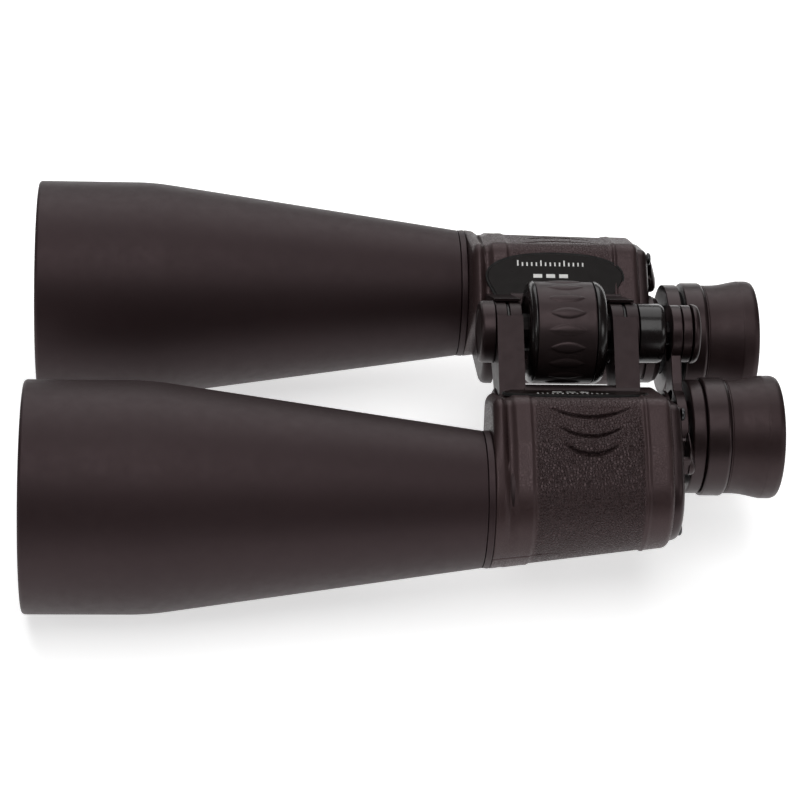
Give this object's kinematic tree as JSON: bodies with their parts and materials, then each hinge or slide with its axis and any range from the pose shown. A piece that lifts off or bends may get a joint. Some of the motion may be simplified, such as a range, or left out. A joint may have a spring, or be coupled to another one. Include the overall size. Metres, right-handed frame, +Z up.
{
  "type": "astronomy binoculars",
  "caption": "Large Porro-prism binoculars with long tapered objective barrels, centre hinge, focus wheel, sliding eyepiece bridge and flared eyecups.",
  "frame": {"origin": "centre of the footprint, at the height of the lowest point of the two objective barrels", "axes": "+Y along the optical axes out of the objectives, +Z up on the focus wheel's side, +X to the user's right"},
  "size_m": [0.2084, 0.277, 0.09],
  "materials": {
    "soft_touch_paint": "satin soft-touch",
    "grained_rubber": "matt, leather grain",
    "eyecup_rubber": "satin",
    "grip_rubber": "satin",
    "gloss_black": "gloss",
    "satin_black": "satin",
    "matt_black": "matt black anodised",
    "cast_housing": "die cast, painted satin black",
    "prism_glass": "polished",
    "coated_glass": "multi-coated",
    "steel": "plain",
    "brass": "turned",
    "nylon": "natural",
    "anodised": "black anodised"
  },
  "bodies": {
    "left_half": {"left_objective_tube": "soft_touch_paint", "left_objective_ring": "matt_black", "left_objective_crown_lens": "coated_glass", "left_objective_flint_lens": "prism_glass", "left_tube_collar": "soft_touch_paint", "left_prism_housing": "cast_housing", "left_housing_armour": "grained_rubber", "left_name_plate": "gloss_black", "left_prism_shelf": "cast_housing", "left_front_prism": "prism_glass", "left_rear_prism": "prism_glass", "left_front_prism_clip": "steel", "left_rear_prism_clip": "steel", "left_rear_cover": "satin_black", "left_cover_screw_1": "steel", "left_cover_screw_2": "steel", "left_cover_screw_3": "steel", "hinge_axle": "steel", "tripod_bush": "brass", "hinge_washer_front": "nylon", "hinge_washer_rear": "nylon", "spindle_sleeve": "gloss_black"},
    "right_half": {"right_objective_tube": "soft_touch_paint", "right_objective_ring": "matt_black", "right_objective_crown_lens": "coated_glass", "right_objective_flint_lens": "prism_glass", "right_tube_collar": "soft_touch_paint", "right_prism_housing": "cast_housing", "right_housing_armour": "grained_rubber", "right_name_plate": "gloss_black", "right_prism_shelf": "cast_housing", "right_front_prism": "prism_glass", "right_rear_prism": "prism_glass", "right_front_prism_clip": "steel", "right_rear_prism_clip": "steel", "right_rear_cover": "satin_black", "right_cover_screw_1": "steel", "right_cover_screw_2": "steel", "right_cover_screw_3": "steel"},
    "focus_wheel": {"focus_wheel_core": "gloss_black", "focus_wheel_grip": "grip_rubber"},
    "left_eyepiece": {"left_bridge_arm": "satin_black", "focus_spindle": "steel", "bridge_end_cap": "satin_black", "left_eyepiece_tube": "anodised", "left_field_lens": "coated_glass", "left_eye_lens": "coated_glass", "left_ocular": "satin_black", "left_eyecup": "eyecup_rubber", "left_eyepiece_ring": "satin_black", "left_eyepiece_collar": "satin_black"},
    "right_eyepiece": {"right_bridge_arm": "satin_black", "right_eyepiece_tube": "anodised", "right_field_lens": "coated_glass"},
    "right_ocular": {"right_ocular": "satin_black", "right_eyecup": "eyecup_rubber", "right_eye_lens": "coated_glass"},
    "diopter_ring": {"diopter_ring": "satin_black"},
    "tripod_cap": {"tripod_cap": "gloss_black"}
  },
  "joints": [
    {"name": "interpupillary", "type": "hinge", "parent": "left_half", "child": "right_half", "pos_m": [0, 0, 0.0708], "axis": [0, -1, 0], "range_deg": [-6, 34]},
    {"name": "focus_wheel", "type": "hinge", "parent": "left_half", "child": "focus_wheel", "pos_m": [0, 0, 0.0708], "axis": [0, 1, 0], "range_deg": [-45, 225]},
    {"name": "left_focus_slide", "type": "slide", "parent": "left_half", "child": "left_eyepiece", "axis": [0, -1, 0], "range_m": [-0.0015, 0.0075]},
    {"name": "right_focus_slide", "type": "slide", "parent": "right_half", "child": "right_eyepiece", "axis": [0, -1, 0], "range_m": [-0.0015, 0.0075]},
    {"name": "diopter_slide", "type": "slide", "parent": "right_eyepiece", "child": "right_ocular", "axis": [0, -1, 0], "range_m": [-0.0015, 0.0015]},
    {"name": "diopter", "type": "hinge", "parent": "right_ocular", "child": "diopter_ring", "pos_m": [0.0295, 0, 0.0452], "axis": [0, -1, 0], "range_deg": [-60, 60]},
    {"name": "tripod_cap_off", "type": "slide", "parent": "left_half", "child": "tripod_cap", "axis": [0, 1, 0], "range_m": [0, 0.012]}
  ],
  "couplings": [
    {"joint": "left_focus_slide", "follows": "focus_wheel", "m_per_rad": 0.0019099},
    {"joint": "right_focus_slide", "follows": "focus_wheel", "m_per_rad": 0.0019099},
    {"joint": "diopter_slide", "follows": "diopter", "m_per_rad": 0.0014324}
  ]
}
